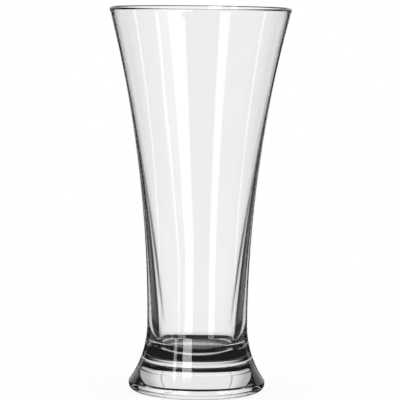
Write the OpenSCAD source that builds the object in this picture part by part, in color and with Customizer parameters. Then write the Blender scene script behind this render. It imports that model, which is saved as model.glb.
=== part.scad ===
// A flared beer glass of clear pressed glass, standing on its own foot.
// All sizes are in millimetres. The origin is the centre of the foot, on the table, with +Z up.
// Half of the section is drawn once, as tangent arcs, and turned about Z. Level planes cut it
// into the five zones that the glass is made in, each with its own wall.

/* [Glass] */
// Height of the glass
glass_h = 175; // [150:1:220]
// Outer diameter at the rim
rim_d = 82.8; // [72:0.2:94]

/* [Lip] */
// Radius of the outer side of the lip
lip_out_r = 1; // [0.8:0.05:1.8]
// Radius of the inner side of the lip
lip_in_r = 0.15; // [0.1:0.05:0.6]

/* [Wall] */
// Thickness of the wall halfway between the waist and the rim
mid_wall = 1.5; // [1.2:0.1:4]
// Thickness of the wall at the waist
waist_wall = 5.2; // [3.5:0.1:9]

/* [Waist] */
// Outer diameter at the waist, the narrowest ring of the glass
waist_d = 46; // [42:0.2:52]
// Height of the waist above the table
waist_h = 30.5; // [28:0.5:34]
// Height at which the thick waist passes into the thin bowl
bowl_h = 60; // [45:1:90]
// Height of the fire-polished band at the rim
rim_band = 2.5; // [1.5:0.1:6]

/* [Cavity floor] */
// Height of the lowest point of the cavity floor above the table
floor_h = 17.6; // [15:0.1:24]
// Radius of the shallow dish of the floor
floor_dish_r = 200; // [60:5:400]
// Radius of the rounded corner between floor and wall
corner_r = 6.3; // [4:0.1:9]

/* [Foot] */
// Outer diameter of the foot
foot_d = 62.4; // [58:0.2:72]
// Radius of the rounded heel under the foot's edge
heel_r = 3; // [1.5:0.1:4]
// Height of the upright band at the foot's edge
edge_band = 1; // [0.2:0.1:3]
// Radius of the shoulder above the foot's edge
shoulder_r = 0.7; // [0.4:0.1:5]
// Width of the flat ring that the glass stands on
ring_w = 5.8; // [1:0.1:8]
// Depth of the hollow in the middle of the underside
punt_depth = 1.2; // [0.5:0.1:3]

/* [Hidden] */
$fn = 128;

// Steps along one arc of the section, and the overrun of a cut
lip_steps = 8;
arc_steps = 12;
long_arc_steps = 32;
over = 1;

clear_glass = [0.90, 0.93, 0.93, 0.45];

rim_r = rim_d / 2;
waist_r = waist_d / 2;
foot_r = foot_d / 2;

// The lip is a wide arc outside and a tight one inside, which meet level at its crest
lip_out_c = [rim_r - lip_out_r, glass_h - lip_out_r];
lip_in_c = [lip_out_c[0], glass_h - lip_in_r];

// Outer wall: one arc, upright at the waist and tangent to the lip
lip_out = lip_out_c[0] - waist_r;
lip_up = lip_out_c[1] - waist_h;
bowl_r = (pow(lip_out, 2) + pow(lip_up, 2) - pow(lip_out_r, 2)) / (2 * (lip_out + lip_out_r));
bowl_c = [waist_r + bowl_r, waist_h];
rim_tilt = asin(lip_up / (bowl_r + lip_out_r));

// Foot: one hollow arc, tangent to the shoulder and upright at the waist
shoulder_c = [foot_r - shoulder_r, heel_r + edge_band];
flare_out = shoulder_c[0] - waist_r;
flare_up = waist_h - shoulder_c[1];
flare_r = (pow(flare_out, 2) + pow(flare_up, 2) - pow(shoulder_r, 2)) / (2 * (flare_out + shoulder_r));
flare_c = [waist_r + flare_r, waist_h];
flank_tilt = angle_of(flare_c - shoulder_c);
foot_top = shoulder_c[1] + shoulder_r * sin(flank_tilt);

// Inner wall: one arc through the lip and two points set by the thickness of the wall there
mid_h = (waist_h + glass_h) / 2;
inner_top = lip_in_c - lip_in_r * [cos(rim_tilt), -sin(rim_tilt)];
inner_mid = [outer_r(mid_h) - mid_wall, mid_h];
inner_low = [waist_r - waist_wall, waist_h];
inner_c = centre_of(inner_low, inner_mid, inner_top);
inner_r = norm(inner_c - inner_mid);

// Corner of the cavity: tangent to the inner wall and to the dish of the floor
corner_c = meet(inner_c, inner_r + corner_r, [0, floor_h + floor_dish_r], floor_dish_r - corner_r);
corner_top = angle_of(inner_c - corner_c);
corner_low = angle_of(corner_c - [0, floor_h + floor_dish_r]);

// The base ends halfway round the corner of the cavity
base_top = corner_c[1] - corner_r * sin(45);

// Underside: a flat ring about a shallow hollow
ring_out = foot_r - heel_r;
ring_in = ring_out - ring_w;
punt_r = (pow(ring_in, 2) + pow(punt_depth, 2)) / (2 * punt_depth);
punt_turn = asin(ring_in / punt_r);

// Radius of the outer wall at a height above the waist
function outer_r(z) = bowl_c[0] - sqrt(pow(bowl_r, 2) - pow(z - bowl_c[1], 2));

// Points along an arc from angle a to angle b
function arc(c, r, a, b, steps) =
    [for (i = [0:steps]) c + r * [cos(a + (b - a) * i / steps), sin(a + (b - a) * i / steps)]];

// Direction of a vector, in degrees
function angle_of(v) = atan2(v[1], v[0]);

// Centre of the circle through three points
function centre_of(p, q, s) =
    let (u = q - p, v = s - p, d = 2 * (u[0] * v[1] - u[1] * v[0]))
    p + [v[1] * (u * u) - u[1] * (v * v), u[0] * (v * v) - v[0] * (u * u)] / d;

// Lower meeting point of two circles, the second one standing on the axis
function meet(c1, r1, c2, r2) =
    let (d = norm(c2 - c1), u = (c2 - c1) / d, a = (r1 * r1 - r2 * r2 + d * d) / (2 * d),
         h = sqrt(r1 * r1 - a * a))
    c1 + a * u + h * [-u[1], u[0]];

// Outside of the glass, from the ring that it stands on up to the crest of the lip
outside_line = concat(
    arc([ring_out, heel_r], heel_r, -90, 0, arc_steps),
    arc(shoulder_c, shoulder_r, 0, flank_tilt, arc_steps),
    arc(flare_c, flare_r, 180 + flank_tilt, 180, arc_steps),
    arc(bowl_c, bowl_r, 180, 180 - rim_tilt, long_arc_steps),
    arc(lip_out_c, lip_out_r, -rim_tilt, 90, lip_steps)
);

// Cavity, from the crest of the lip down to the middle of the floor
cavity_line = concat(
    arc(lip_in_c, lip_in_r, 90, 180 - rim_tilt, lip_steps),
    arc(inner_c, inner_r, angle_of(inner_top - inner_c), 180 + corner_top, long_arc_steps),
    arc(corner_c, corner_r, corner_top, corner_low, arc_steps),
    arc([0, floor_h + floor_dish_r], floor_dish_r, corner_low, -90, arc_steps)
);

// Hollow of the underside, from the axis out to the ring
punt_line = arc([0, punt_depth - punt_r], punt_r, 90, 90 - punt_turn, arc_steps);

// Half section of the whole glass
module half_section() {
    polygon(concat(punt_line, outside_line, cavity_line));
}

// The part of the glass between two levels
module zone(low, high) {
    rotate_extrude()
        intersection() {
            half_section();
            translate([0, low])
                square([rim_r + foot_r, high - low]);
        }
}

// Fire-polished lip that rounds off the wall
module rim() {
    color(clear_glass)
        zone(glass_h - rim_band, glass_h + over);
}

// Thin flared wall that holds the drink
module bowl() {
    color(clear_glass)
        zone(bowl_h, glass_h - rim_band);
}

// Thick wall that narrows to the waist
module waist() {
    color(clear_glass)
        zone(base_top, bowl_h);
}

// Solid glass under the cavity, with the dished floor on its top
module solid_base() {
    color(clear_glass)
        zone(foot_top, base_top);
}

// Spread foot with its round heel, standing ring and hollow underside
module foot() {
    color(clear_glass)
        zone(-over, foot_top);
}

rim();
bowl();
waist();
solid_base();
foot();
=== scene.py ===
import math

import bpy
from bpy.props import FloatProperty, IntProperty, PointerProperty, StringProperty
from mathutils import Matrix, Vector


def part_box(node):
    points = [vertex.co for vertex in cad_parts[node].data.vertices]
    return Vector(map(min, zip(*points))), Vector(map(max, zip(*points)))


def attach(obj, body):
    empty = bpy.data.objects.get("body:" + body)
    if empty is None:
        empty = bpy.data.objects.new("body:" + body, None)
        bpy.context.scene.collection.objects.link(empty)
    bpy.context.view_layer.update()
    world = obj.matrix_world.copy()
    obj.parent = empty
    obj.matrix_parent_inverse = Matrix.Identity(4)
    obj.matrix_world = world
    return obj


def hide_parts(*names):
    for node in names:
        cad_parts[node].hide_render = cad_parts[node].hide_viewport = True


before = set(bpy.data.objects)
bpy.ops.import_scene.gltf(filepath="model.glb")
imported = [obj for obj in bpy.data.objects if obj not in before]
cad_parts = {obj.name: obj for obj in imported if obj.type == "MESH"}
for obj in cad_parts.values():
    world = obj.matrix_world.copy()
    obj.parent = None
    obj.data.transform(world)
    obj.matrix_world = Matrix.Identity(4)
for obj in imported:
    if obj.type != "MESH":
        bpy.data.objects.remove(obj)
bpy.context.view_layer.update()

bl_info = {
    "name": "Pilsner glass",
    "version": (1, 0, 0),
    "blender": (4, 5, 0),
    "location": "View3D > Sidebar > Glass",
    "description": "Builds a flared beer glass of clear pressed glass, and the studio it stands in",
    "category": "Add Mesh",
}

MM = 0.001
RIM_LOW, RIM_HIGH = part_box("rim")
FOOT_LOW, FOOT_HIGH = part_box("foot")


# Sizes and colours

def length(name, description, default):
    """A size in metres, shown with its unit."""
    return FloatProperty(name=name, description=description, default=default, min=0.0,
                         unit="LENGTH", subtype="DISTANCE", precision=5)


class GlassSizes(bpy.types.PropertyGroup):
    """Sizes of the glass, the same as in the part's source"""
    glass_h: length("Height", "Height of the glass", RIM_HIGH.z)
    rim_d: length("Rim diameter", "Outer diameter at the rim", RIM_HIGH.x - RIM_LOW.x)
    lip_out_r: length("Lip outside", "Radius of the lip's outer side", 1.0 * MM)
    lip_in_r: length("Lip inside", "Radius of the lip's inner side", 0.15 * MM)
    mid_wall: length("Middle wall", "Thickness of the wall halfway up the bowl", 1.5 * MM)
    waist_wall: length("Waist wall", "Thickness of the wall at the waist", 5.2 * MM)
    waist_d: length("Waist diameter", "Outer diameter at the narrowest ring", 46 * MM)
    waist_h: length("Waist height", "Height of the narrowest ring", 30.5 * MM)
    floor_h: length("Floor height", "Lowest point of the cavity floor", 17.6 * MM)
    floor_dish_r: length("Floor dish", "Radius of the dish of the cavity floor", 200 * MM)
    corner_r: length("Corner", "Radius between the cavity's floor and wall", 6.3 * MM)
    foot_d: length("Foot diameter", "Outer diameter of the foot", FOOT_HIGH.x - FOOT_LOW.x)
    heel_r: length("Heel", "Radius of the round heel under the foot's edge", 3 * MM)
    edge_band: length("Edge band", "Height of the upright band at the foot's edge", 1 * MM)
    shoulder_r: length("Shoulder", "Radius of the shoulder above the foot's edge", 0.7 * MM)
    ring_w: length("Standing ring", "Width of the flat ring that the glass stands on", 5.8 * MM)
    punt_depth: length("Hollow", "Depth of the hollow in the underside", 1.2 * MM)
    turn_steps: IntProperty(name="Steps round", description="Steps of the turned surface",
                            default=320, min=64, max=400)


class GlassFinish(bpy.types.PropertyGroup):
    """Finish of the glass"""
    ior: FloatProperty(name="IOR", description="Refractive index of soda-lime glass", default=1.52,
                       min=1.3, max=1.9)
    wave_height: length("Forming waves", "Height of the slow waves left by forming", 0.004 * MM)
    wave_length: length("Wave length", "Distance from one forming wave to the next", 22 * MM)
    scuff_height: length("Scuffed height", "Height up to which the ring is scuffed", 0.25 * MM)
    scuff_width: length("Scuff width", "Width of the finest scuff that shows", 0.35 * MM)
    scuff_rough: FloatProperty(name="Scuff roughness", description="Roughness of a full scuff",
                               default=0.25, min=0.0, max=1.0, subtype="FACTOR")


class StudioSizes(bpy.types.PropertyGroup):
    """Camera, floor and surroundings"""
    camera_distance: length("Camera distance", "Distance from the glass's axis", 1.08245)
    camera_height: length("Camera height", "Height of the lens above the floor", 0.19658)
    lens_mm: FloatProperty(name="Lens", default=214.53, min=20.0,
                           description="Focal length on a 36 mm sensor, in millimetres")
    camera_pitch: FloatProperty(name="Pitch", description="Downward tilt of the camera",
                                default=math.radians(5.767), subtype="ANGLE", unit="ROTATION")
    camera_roll: FloatProperty(name="Roll", description="Turn about the camera's line of sight",
                               default=math.radians(0.648), subtype="ANGLE", unit="ROTATION")
    camera_aim: FloatProperty(name="Sideways aim", description="Turn of the camera to the side",
                              default=math.radians(-0.0342), subtype="ANGLE", unit="ROTATION")
    floor_size: length("Floor size", "Side of the square floor", 400.0)
    floor_hex: StringProperty(name="Floor", description="Colour of the pale floor, as sRGB hex",
                              default="FFFFFF")
    floor_glow: FloatProperty(name="Floor's own light", description="Share of the floor that the "
                              "camera sees by its own light, and so without a shadow",
                              default=0.88, min=0.0, max=1.0, subtype="FACTOR")


# Shared helpers

def linear(hex_colour):
    """An sRGB hex colour as linear red, green, blue and alpha."""
    parts = [int(hex_colour[i:i + 2], 16) / 255 for i in (0, 2, 4)]
    parts = [p / 12.92 if p <= 0.04045 else ((p + 0.055) / 1.055) ** 2.4 for p in parts]
    return (*parts, 1.0)


def add_node(tree, kind, inputs=None, **settings):
    """Adds a node with its settings. An input gets a value, a socket, or a node's first output."""
    node = tree.nodes.new(kind)
    for name, value in settings.items():
        setattr(node, name, value)
    for name, value in (inputs or {}).items():
        if isinstance(value, bpy.types.Node):
            value = value.outputs[0]
        if isinstance(value, bpy.types.NodeSocket):
            tree.links.new(value, node.inputs[name])
        else:
            node.inputs[name].default_value = value
    return node


def empty_tree(owner):
    """The owner's node tree, switched on and cleared."""
    owner.use_nodes = True
    owner.node_tree.nodes.clear()
    return owner.node_tree


# The section of the glass

# Steps along each arc of the half section
STEPS = {"hollow": 12, "heel": 12, "shoulder": 8, "flank": 24, "bowl": 44, "lip outside": 12,
         "lip inside": 8, "inner wall": 44, "corner": 14, "cavity floor": 10}
# Points nearer to each other than this become one
WELD = 0.001 * MM


def arc(centre, radius, start, end, steps):
    """Points along an arc, angles in radians."""
    angles = [start + (end - start) * i / steps for i in range(steps + 1)]
    return [(centre[0] + radius * math.cos(a), centre[1] + radius * math.sin(a)) for a in angles]


def angle_of(start, end):
    """Direction from one point to another."""
    return math.atan2(end[1] - start[1], end[0] - start[0])


def circle_through(p, q, s):
    """Centre and radius of the circle through three points."""
    u, v = (q[0] - p[0], q[1] - p[1]), (s[0] - p[0], s[1] - p[1])
    d = 2 * (u[0] * v[1] - u[1] * v[0])
    uu, vv = u[0] ** 2 + u[1] ** 2, v[0] ** 2 + v[1] ** 2
    centre = (p[0] + (v[1] * uu - u[1] * vv) / d, p[1] + (u[0] * vv - v[0] * uu) / d)
    return centre, math.dist(centre, p)


def lower_meeting(c1, r1, c2, r2):
    """Lower meeting point of two circles, the second one standing on the axis."""
    d = math.dist(c1, c2)
    ux, uz = (c2[0] - c1[0]) / d, (c2[1] - c1[1]) / d
    a = (r1 * r1 - r2 * r2 + d * d) / (2 * d)
    h = math.sqrt(r1 * r1 - a * a)
    return c1[0] + a * ux - h * uz, c1[1] + a * uz + h * ux


def half_section(size):
    """The half section as tangent arcs, from the axis underneath round to the cavity's axis."""
    rim_r, waist_r, foot_r = size.rim_d / 2, size.waist_d / 2, size.foot_d / 2
    lip_out_c = (rim_r - size.lip_out_r, size.glass_h - size.lip_out_r)
    lip_in_c = (lip_out_c[0], size.glass_h - size.lip_in_r)

    out, up = lip_out_c[0] - waist_r, lip_out_c[1] - size.waist_h
    bowl_r = (out ** 2 + up ** 2 - size.lip_out_r ** 2) / (2 * (out + size.lip_out_r))
    bowl_c = (waist_r + bowl_r, size.waist_h)
    tilt = math.asin(up / (bowl_r + size.lip_out_r))

    shoulder_c = (foot_r - size.shoulder_r, size.heel_r + size.edge_band)
    out, up = shoulder_c[0] - waist_r, size.waist_h - shoulder_c[1]
    flare_r = (out ** 2 + up ** 2 - size.shoulder_r ** 2) / (2 * (out + size.shoulder_r))
    flare_c = (waist_r + flare_r, size.waist_h)
    flank = angle_of(shoulder_c, flare_c)

    mid_h = (size.waist_h + size.glass_h) / 2
    mid_r = bowl_c[0] - math.sqrt(bowl_r ** 2 - (mid_h - bowl_c[1]) ** 2)
    inner_top = (lip_in_c[0] - size.lip_in_r * math.cos(tilt),
                 lip_in_c[1] + size.lip_in_r * math.sin(tilt))
    inner_c, inner_r = circle_through((waist_r - size.waist_wall, size.waist_h),
                                      (mid_r - size.mid_wall, mid_h), inner_top)

    dish_c = (0.0, size.floor_h + size.floor_dish_r)
    corner_c = lower_meeting(inner_c, inner_r + size.corner_r,
                             dish_c, size.floor_dish_r - size.corner_r)
    corner_top, corner_low = angle_of(corner_c, inner_c), angle_of(dish_c, corner_c)

    ring_out = foot_r - size.heel_r
    ring_in = ring_out - size.ring_w
    punt_r = (ring_in ** 2 + size.punt_depth ** 2) / (2 * size.punt_depth)
    punt_turn = math.asin(ring_in / punt_r)

    quarter, half = math.pi / 2, math.pi
    pieces = [
        arc((0.0, size.punt_depth - punt_r), punt_r, quarter, quarter - punt_turn,
            STEPS["hollow"]),
        arc((ring_out, size.heel_r), size.heel_r, -quarter, 0, STEPS["heel"]),
        arc(shoulder_c, size.shoulder_r, 0, flank, STEPS["shoulder"]),
        arc(flare_c, flare_r, half + flank, half, STEPS["flank"]),
        arc(bowl_c, bowl_r, half, half - tilt, STEPS["bowl"]),
        arc(lip_out_c, size.lip_out_r, -tilt, quarter, STEPS["lip outside"]),
        arc(lip_in_c, size.lip_in_r, quarter, half - tilt, STEPS["lip inside"]),
        arc(inner_c, inner_r, angle_of(inner_c, inner_top), half + corner_top,
            STEPS["inner wall"]),
        arc(corner_c, size.corner_r, corner_top, corner_low, STEPS["corner"]),
        arc(dish_c, size.floor_dish_r, corner_low, -quarter, STEPS["cavity floor"]),
    ]
    line = []
    for point in (p for piece in pieces for p in piece):
        if not line or math.dist(point, line[-1]) > WELD:
            line.append(point)
    return line


def spin_section(name, line, steps):
    """Draws the half section from one point, edge by edge, and spins it about the upright axis."""
    bpy.ops.object.select_all(action="DESELECT")
    bpy.ops.mesh.primitive_plane_add(size=MM, location=(line[0][0], 0.0, line[0][1]))
    piece = bpy.context.active_object
    piece.name = piece.data.name = name
    bpy.ops.object.mode_set(mode="EDIT")
    bpy.ops.mesh.select_all(action="SELECT")
    bpy.ops.mesh.merge(type="CENTER")
    for (r0, z0), (r1, z1) in zip(line, line[1:]):
        bpy.ops.mesh.extrude_region_move(TRANSFORM_OT_translate={"value": (r1 - r0, 0.0, z1 - z0)})
    bpy.ops.mesh.select_all(action="SELECT")
    bpy.ops.mesh.spin(steps=steps, angle=math.tau, center=(0.0, 0.0, 0.0), axis=(0.0, 0.0, 1.0))
    bpy.ops.mesh.select_all(action="SELECT")
    bpy.ops.mesh.remove_doubles(threshold=WELD)
    bpy.ops.mesh.normals_make_consistent(inside=False)
    bpy.ops.object.mode_set(mode="OBJECT")
    bpy.ops.object.transform_apply(location=True, rotation=True, scale=True)
    bpy.ops.object.shade_smooth()
    return piece


# Glass

# Levels of the noise from which a scuff begins, and from which it is full
SCUFF_FROM, SCUFF_FULL = 0.55, 0.7


def pressed_soda_lime_glass(finish):
    """Soda-lime glass, pressed and then fire polished: colourless, with a mirror-smooth skin, slow
    waves where the gob chilled in the mould, and fine scuffs on the ring that it stands on."""
    material = bpy.data.materials.new("pressed_soda_lime_glass")
    tree = empty_tree(material)
    place = add_node(tree, "ShaderNodeTexCoord").outputs["Object"]
    # Slow waves: one from crest to crest in wave_length, a few thousandths of a millimetre high
    wave = add_node(tree, "ShaderNodeTexNoise", {"Vector": place, "Scale": 1 / finish.wave_length,
                                                 "Detail": 1.0, "Roughness": 0.4})
    skin = add_node(tree, "ShaderNodeBump", {"Height": wave, "Distance": finish.wave_height})
    # Scuffs: only where the underside touches the table
    height = add_node(tree, "ShaderNodeSeparateXYZ", {"Vector": place}).outputs["Z"]
    touching = add_node(tree, "ShaderNodeMapRange", {"Value": height, "To Min": 1.0, "To Max": 0.0,
                                                     "From Max": finish.scuff_height})
    scratch = add_node(tree, "ShaderNodeTexNoise",
                       {"Vector": place, "Scale": 1 / finish.scuff_width, "Detail": 3.0})
    fine = add_node(tree, "ShaderNodeMapRange",
                    {"Value": scratch, "From Min": SCUFF_FROM, "From Max": SCUFF_FULL,
                     "To Max": finish.scuff_rough})
    rough = add_node(tree, "ShaderNodeMath", {0: touching, 1: fine}, operation="MULTIPLY")
    glass = add_node(tree, "ShaderNodeBsdfPrincipled",
                     {"Base Color": linear("FFFFFF"), "Transmission Weight": 1.0, "IOR": finish.ior,
                      "Roughness": rough, "Normal": skin})
    add_node(tree, "ShaderNodeOutputMaterial", {"Surface": glass})
    return material


# Studio

# What the glass shows of the room and of the table. Each row is a level and, for each coordinate
# named, its lowest and highest value and the width of its soft edge. Later rows lie on top of
# earlier ones. Angles are in degrees and lengths in metres, and azimuth 0 is behind the glass and
# positive to the right. Skin is 1 for what the outer skin reflects, and turns counts how often the
# glass has thrown the ray back. A limit of FAR is never reached.
NO, YES = (-0.5, 0.5, 0.1), (0.5, 1.5, 0.1)
FAR = 99.0

# Room: side is the angle from the upright plane through the line of sight, and pitch the slope of a
# line across the room, so that boards curved round the back have straight edges.
BACK_PITCH = (-90.0, 35.8, 1.0)
LIGHT_RISE = (-20.0, 41.0, 18.0)
ROOM_LEVEL = 0.015
ROOM = {
    "overhead_softbox": (0.35, {"side": (-16.0, 16.0, 6.0), "pitch": (42.0, 66.0, 4.0)}),
    "back_boards": (0.5, {"side": (-42.0, 46.0, 1.5), "pitch": BACK_PITCH}),
    "lit_back_board": (0.88, {"side": (-28.0, 28.0, 16.0), "pitch": BACK_PITCH}),
    "left_seam": (0.5, {"side": (-21.7, -20.5, 0.6), "pitch": BACK_PITCH}),
    "right_seam": (0.5, {"side": (20.5, 21.7, 0.6), "pitch": BACK_PITCH}),
    "front_board": (0.5, {"skin": NO, "azimuth": (112.0, 158.0, 3.0),
                          "elevation": (4.0, 32.0, 3.0)}),
    "white_walls": (0.85, {"turns": NO, "azimuth": (55.0, 305.0, 10.0),
                           "elevation": (-20.0, 40.0, 10.0)}),
    # Painted highlights: the tall and thin lights glow only in what the outer skin reflects, and
    # light nothing
    "painted_tall_highlight": (8.0, {"skin": YES, "azimuth": (-169.0, -149.0, 1.0), "elevation": LIGHT_RISE}),
    "painted_thin_highlight": (5.5, {"skin": YES, "azimuth": (-135.5, -128.0, 1.0), "elevation": LIGHT_RISE}),
}

# Table: boards and runner are distances from the line of sight, less what their edges have spread
# by there. Shine is the azimuth from the middle of the tall painted highlight on the table, which
# bends with its distance from the glass.
BOARDS_SPREAD, RUNNER_SPREAD = math.radians(40.5), math.radians(14.5)
SHINE_NEAR, SHINE_FAR = (0.290, -162.0), (0.365, -146.0)
BEHIND = (-90.0, 90.0, 4.0)
RUNNER = (-FAR, 0.029, 0.02)
TABLE_LEVEL = 0.3
TABLE = {
    "far_table": (0.4, {"radius": (0.33, FAR, 0.15)}),
    # Painted shade: the table darkens round the foot
    "near_shade": (0.06, {"radius": (-FAR, 0.055, 0.25)}),
    "black_boards": (0.01, {"boards": (-FAR, 0.055, 0.008)}),
    "white_table": (0.85, {"turns": NO, "azimuth": (28.0, 332.0, 6.0)}),
    "white_runner": (0.99, {"runner": RUNNER, "azimuth": BEHIND}),
    # Painted shade on the runner near the foot, and in front of the glass towards the camera
    "runner_shade": (0.7, {"runner": RUNNER, "azimuth": BEHIND, "radius": (-FAR, 0.05, 0.06)}),
    "camera_shade": (0.2, {"azimuth": (155.0, 205.0, 8.0)}),
    # Painted highlights on the table: patches that glow only in what the outer skin reflects
    "painted_tall_highlight": (3.5, {"skin": YES, "shine": (-9.0, 9.0, 1.5)}),
    "painted_thin_highlight": (3.0, {"skin": YES, "shine": (21.0, 25.0, 1.0)}),
    "painted_right_highlight": (3.5, {"skin": YES, "azimuth": (142.0, 155.5, 1.5)}),
    "painted_left_strip_highlight": (2.5, {"skin": YES, "azimuth": (-90.0, -86.0, 1.0)}),
    "painted_right_strip_highlight": (2.5, {"skin": YES, "azimuth": (89.0, 93.0, 1.0)}),
    # Painted shadow: the table is near black under the foot
    "foot_shade": (0.01, {"radius": (-FAR, 0.039, 0.004)}),
}


def window(tree, value, low, high, soft, cover):
    """The cover from low to high, else 0, with a soft edge. It repeats every 360 degrees."""
    beside = add_node(tree, "ShaderNodeMath", {0: value, 1: (low + high) / 2}, operation="SUBTRACT")
    away = add_node(tree, "ShaderNodeMath", {0: beside, 1: 180.0}, operation="PINGPONG")
    return add_node(tree, "ShaderNodeMapRange",
                    {"Value": away, "From Min": (high - low - soft) / 2,
                     "From Max": (high - low + soft) / 2, "To Min": cover, "To Max": 0.0},
                    interpolation_type="SMOOTHSTEP")


def lay_over(tree, level, patches, coordinates):
    """The level with each patch laid over it, where all its coordinates are within their limits."""
    for name, (strength, limits) in patches.items():
        cover = 1.0
        for coordinate, limit in limits.items():
            cover = window(tree, coordinates[coordinate], *limit, cover)
        level = add_node(tree, "ShaderNodeMix", {0: cover, 2: level, 3: strength}, label=name)
    return level


def degrees(tree, operation, *values):
    """The angle that an inverse sine or tangent gives, in degrees."""
    angle = add_node(tree, "ShaderNodeMath", dict(enumerate(values)), operation=operation)
    return add_node(tree, "ShaderNodeMath", {0: angle}, operation="DEGREES")


def off_the_skin(tree, ray):
    """1 for a ray that the outer skin of the glass has thrown off, straight from the camera. Its
    depth is then 1 on the table and 2 in the world."""
    first = add_node(tree, "ShaderNodeMath", {0: ray["Ray Depth"], 1: 2.5}, operation="LESS_THAN")
    return add_node(tree, "ShaderNodeMath", {0: ray["Is Reflection Ray"], 1: first},
                    operation="MULTIPLY")


def seen_by_glass(tree, ray):
    """1 for a ray that meets the surroundings from the glass, 0 for one that lights a surface."""
    return add_node(tree, "ShaderNodeMath",
                    {0: ray["Is Glossy Ray"], 1: ray["Is Transmission Ray"]}, operation="MAXIMUM")


def room_level(tree, ray):
    """Level of the room in the direction of a ray."""
    direction = add_node(tree, "ShaderNodeTexCoord").outputs["Generated"]
    x, y, z = add_node(tree, "ShaderNodeSeparateXYZ", {0: direction}).outputs
    return lay_over(tree, ROOM_LEVEL, ROOM, {
        "azimuth": degrees(tree, "ARCTAN2", x, y),
        "pitch": degrees(tree, "ARCTAN2", z, y),
        "side": degrees(tree, "ARCSINE", x),
        "elevation": degrees(tree, "ARCSINE", z),
        "turns": ray["Glossy Depth"],
        "skin": off_the_skin(tree, ray)})


def spread_from_sight(tree, x, y, spread):
    """Distance beside the line of sight, less what an edge at this angle to it has spread by."""
    beside = add_node(tree, "ShaderNodeMath", {0: x}, operation="ABSOLUTE")
    across = add_node(tree, "ShaderNodeMath", {0: beside, 1: math.cos(spread)},
                      operation="MULTIPLY")
    return add_node(tree, "ShaderNodeMath", {0: y, 1: -math.sin(spread), 2: across},
                    operation="MULTIPLY_ADD")


def table_level(tree, ray):
    """Level of the table at a place on it."""
    place = add_node(tree, "ShaderNodeTexCoord").outputs["Object"]
    x, y, z = add_node(tree, "ShaderNodeSeparateXYZ", {0: place}).outputs
    azimuth = degrees(tree, "ARCTAN2", x, y)
    radius = add_node(tree, "ShaderNodeVectorMath", {0: place}, operation="LENGTH").outputs["Value"]
    middle = add_node(tree, "ShaderNodeMapRange",
                      {"Value": radius, "From Min": SHINE_NEAR[0], "From Max": SHINE_FAR[0],
                       "To Min": SHINE_NEAR[1], "To Max": SHINE_FAR[1]})
    shine = add_node(tree, "ShaderNodeMath", {0: azimuth, 1: middle}, operation="SUBTRACT")
    return lay_over(tree, TABLE_LEVEL, TABLE, {
        "azimuth": azimuth,
        "radius": radius,
        "boards": spread_from_sight(tree, x, y, BOARDS_SPREAD),
        "runner": spread_from_sight(tree, x, y, RUNNER_SPREAD),
        "shine": shine,
        "turns": ray["Glossy Depth"],
        "skin": off_the_skin(tree, ray)})


def make_world():
    """Plain white all round, and to the glass the room."""
    world = bpy.data.worlds.new("studio")
    bpy.context.scene.world = world
    tree = empty_tree(world)
    ray = add_node(tree, "ShaderNodeLightPath").outputs
    shown = add_node(tree, "ShaderNodeMix",
                     {0: seen_by_glass(tree, ray), 2: 1.0, 3: room_level(tree, ray)})
    light = add_node(tree, "ShaderNodeBackground", {"Color": linear("FFFFFF"), "Strength": shown})
    add_node(tree, "ShaderNodeOutputWorld", {"Surface": light})
    # Plain white lights the board evenly, so the world isn't sampled as a lamp
    world.cycles.sampling_method = "NONE"


def matt_white_board(studio):
    """White board, rolled matt: a plain pale floor. In its place the glass sees the table's boards,
    painted shade and painted highlights, and the camera sees most of it by its own light, which
    thins the glass's shadow."""
    material = bpy.data.materials.new("matt_white_board")
    tree = empty_tree(material)
    ray = add_node(tree, "ShaderNodeLightPath").outputs
    board = add_node(tree, "ShaderNodeBsdfDiffuse", {"Color": linear(studio.floor_hex)})
    white = add_node(tree, "ShaderNodeEmission", {"Color": linear(studio.floor_hex)})
    glow = add_node(tree, "ShaderNodeMath", {0: studio.floor_glow, 1: ray["Is Camera Ray"]},
                    operation="MULTIPLY")
    pale = add_node(tree, "ShaderNodeMixShader", {0: glow, 1: board, 2: white})
    shown = add_node(tree, "ShaderNodeEmission", {"Strength": table_level(tree, ray)})
    both = add_node(tree, "ShaderNodeMixShader", {0: seen_by_glass(tree, ray), 1: pale, 2: shown})
    add_node(tree, "ShaderNodeOutputMaterial", {"Surface": both})
    return material


def make_floor(studio):
    """A square floor with its middle under the glass."""
    bpy.ops.object.select_all(action="DESELECT")
    bpy.ops.mesh.primitive_plane_add(size=studio.floor_size)
    floor = bpy.context.active_object
    floor.name = "pale_floor"
    floor.data.materials.append(matt_white_board(studio))


def make_camera(studio):
    """The camera stands in front, a little above the rim's height, and looks slightly down."""
    camera = bpy.data.objects.new("camera", bpy.data.cameras.new("camera"))
    camera.data.sensor_width = 36
    camera.data.lens = studio.lens_mm
    camera.data.clip_start, camera.data.clip_end = 0.05, 100.0
    camera.matrix_world = (Matrix.Translation((0.0, -studio.camera_distance, studio.camera_height))
                           @ Matrix.Rotation(studio.camera_aim, 4, "Z")
                           @ Matrix.Rotation(math.pi / 2 - studio.camera_pitch, 4, "X")
                           @ Matrix.Rotation(studio.camera_roll, 4, "Z"))
    bpy.context.scene.collection.objects.link(camera)
    bpy.context.scene.camera = camera


# Operators

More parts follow.
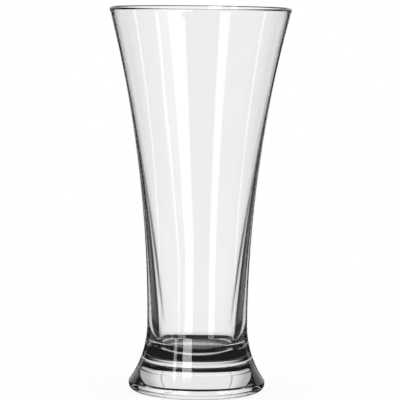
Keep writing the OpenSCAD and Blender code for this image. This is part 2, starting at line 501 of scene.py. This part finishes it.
class GLASS_OT_body(bpy.types.Operator):
    """Spin the glass's section into one seamless body and give it its finish"""
    bl_idname = "glass.body"
    bl_label = "Glass body"

    def execute(self, context):
        size, finish = context.scene.glass_sizes, context.scene.glass_finish
        body = spin_section("glass_body", half_section(size), size.turn_steps)
        body.data.materials.append(pressed_soda_lime_glass(finish))
        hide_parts("rim", "bowl", "waist", "solid_base", "foot")
        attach(body, "root")
        return {"FINISHED"}


class GLASS_OT_studio(bpy.types.Operator):
    """Make the camera, the pale floor and the surroundings"""
    bl_idname = "glass.studio"
    bl_label = "Studio"

    def execute(self, context):
        studio = context.scene.glass_studio
        make_camera(studio)
        make_world()
        make_floor(studio)
        return {"FINISHED"}


class GLASS_PT_panel(bpy.types.Panel):
    """Lists the steps that build the glass, and its sizes"""
    bl_idname = "GLASS_PT_panel"
    bl_label = "Pilsner glass"
    bl_space_type = "VIEW_3D"
    bl_region_type = "UI"
    bl_category = "Glass"

    def draw(self, context):
        column = self.layout.column()
        column.operator("glass.studio")
        column.operator("glass.body")
        scene = context.scene
        for group in (scene.glass_sizes, scene.glass_finish, scene.glass_studio):
            box = self.layout.box()
            for name in group.__annotations__:
                box.prop(group, name)


CLASSES = (GlassSizes, GlassFinish, StudioSizes, GLASS_OT_body, GLASS_OT_studio, GLASS_PT_panel)


def register():
    for cls in CLASSES:
        bpy.utils.register_class(cls)
    bpy.types.Scene.glass_sizes = PointerProperty(type=GlassSizes)
    bpy.types.Scene.glass_finish = PointerProperty(type=GlassFinish)
    bpy.types.Scene.glass_studio = PointerProperty(type=StudioSizes)


def unregister():
    del bpy.types.Scene.glass_sizes, bpy.types.Scene.glass_finish, bpy.types.Scene.glass_studio
    for cls in reversed(CLASSES):
        bpy.utils.unregister_class(cls)


def main():
    register()
    scene = bpy.context.scene
    scene.view_settings.view_transform = "Standard"
    scene.cycles.max_bounces = scene.cycles.transmission_bounces = 24
    scene.cycles.glossy_bounces = 12
    bpy.ops.glass.studio()
    bpy.ops.glass.body()


if __name__ == "__main__":
    main()
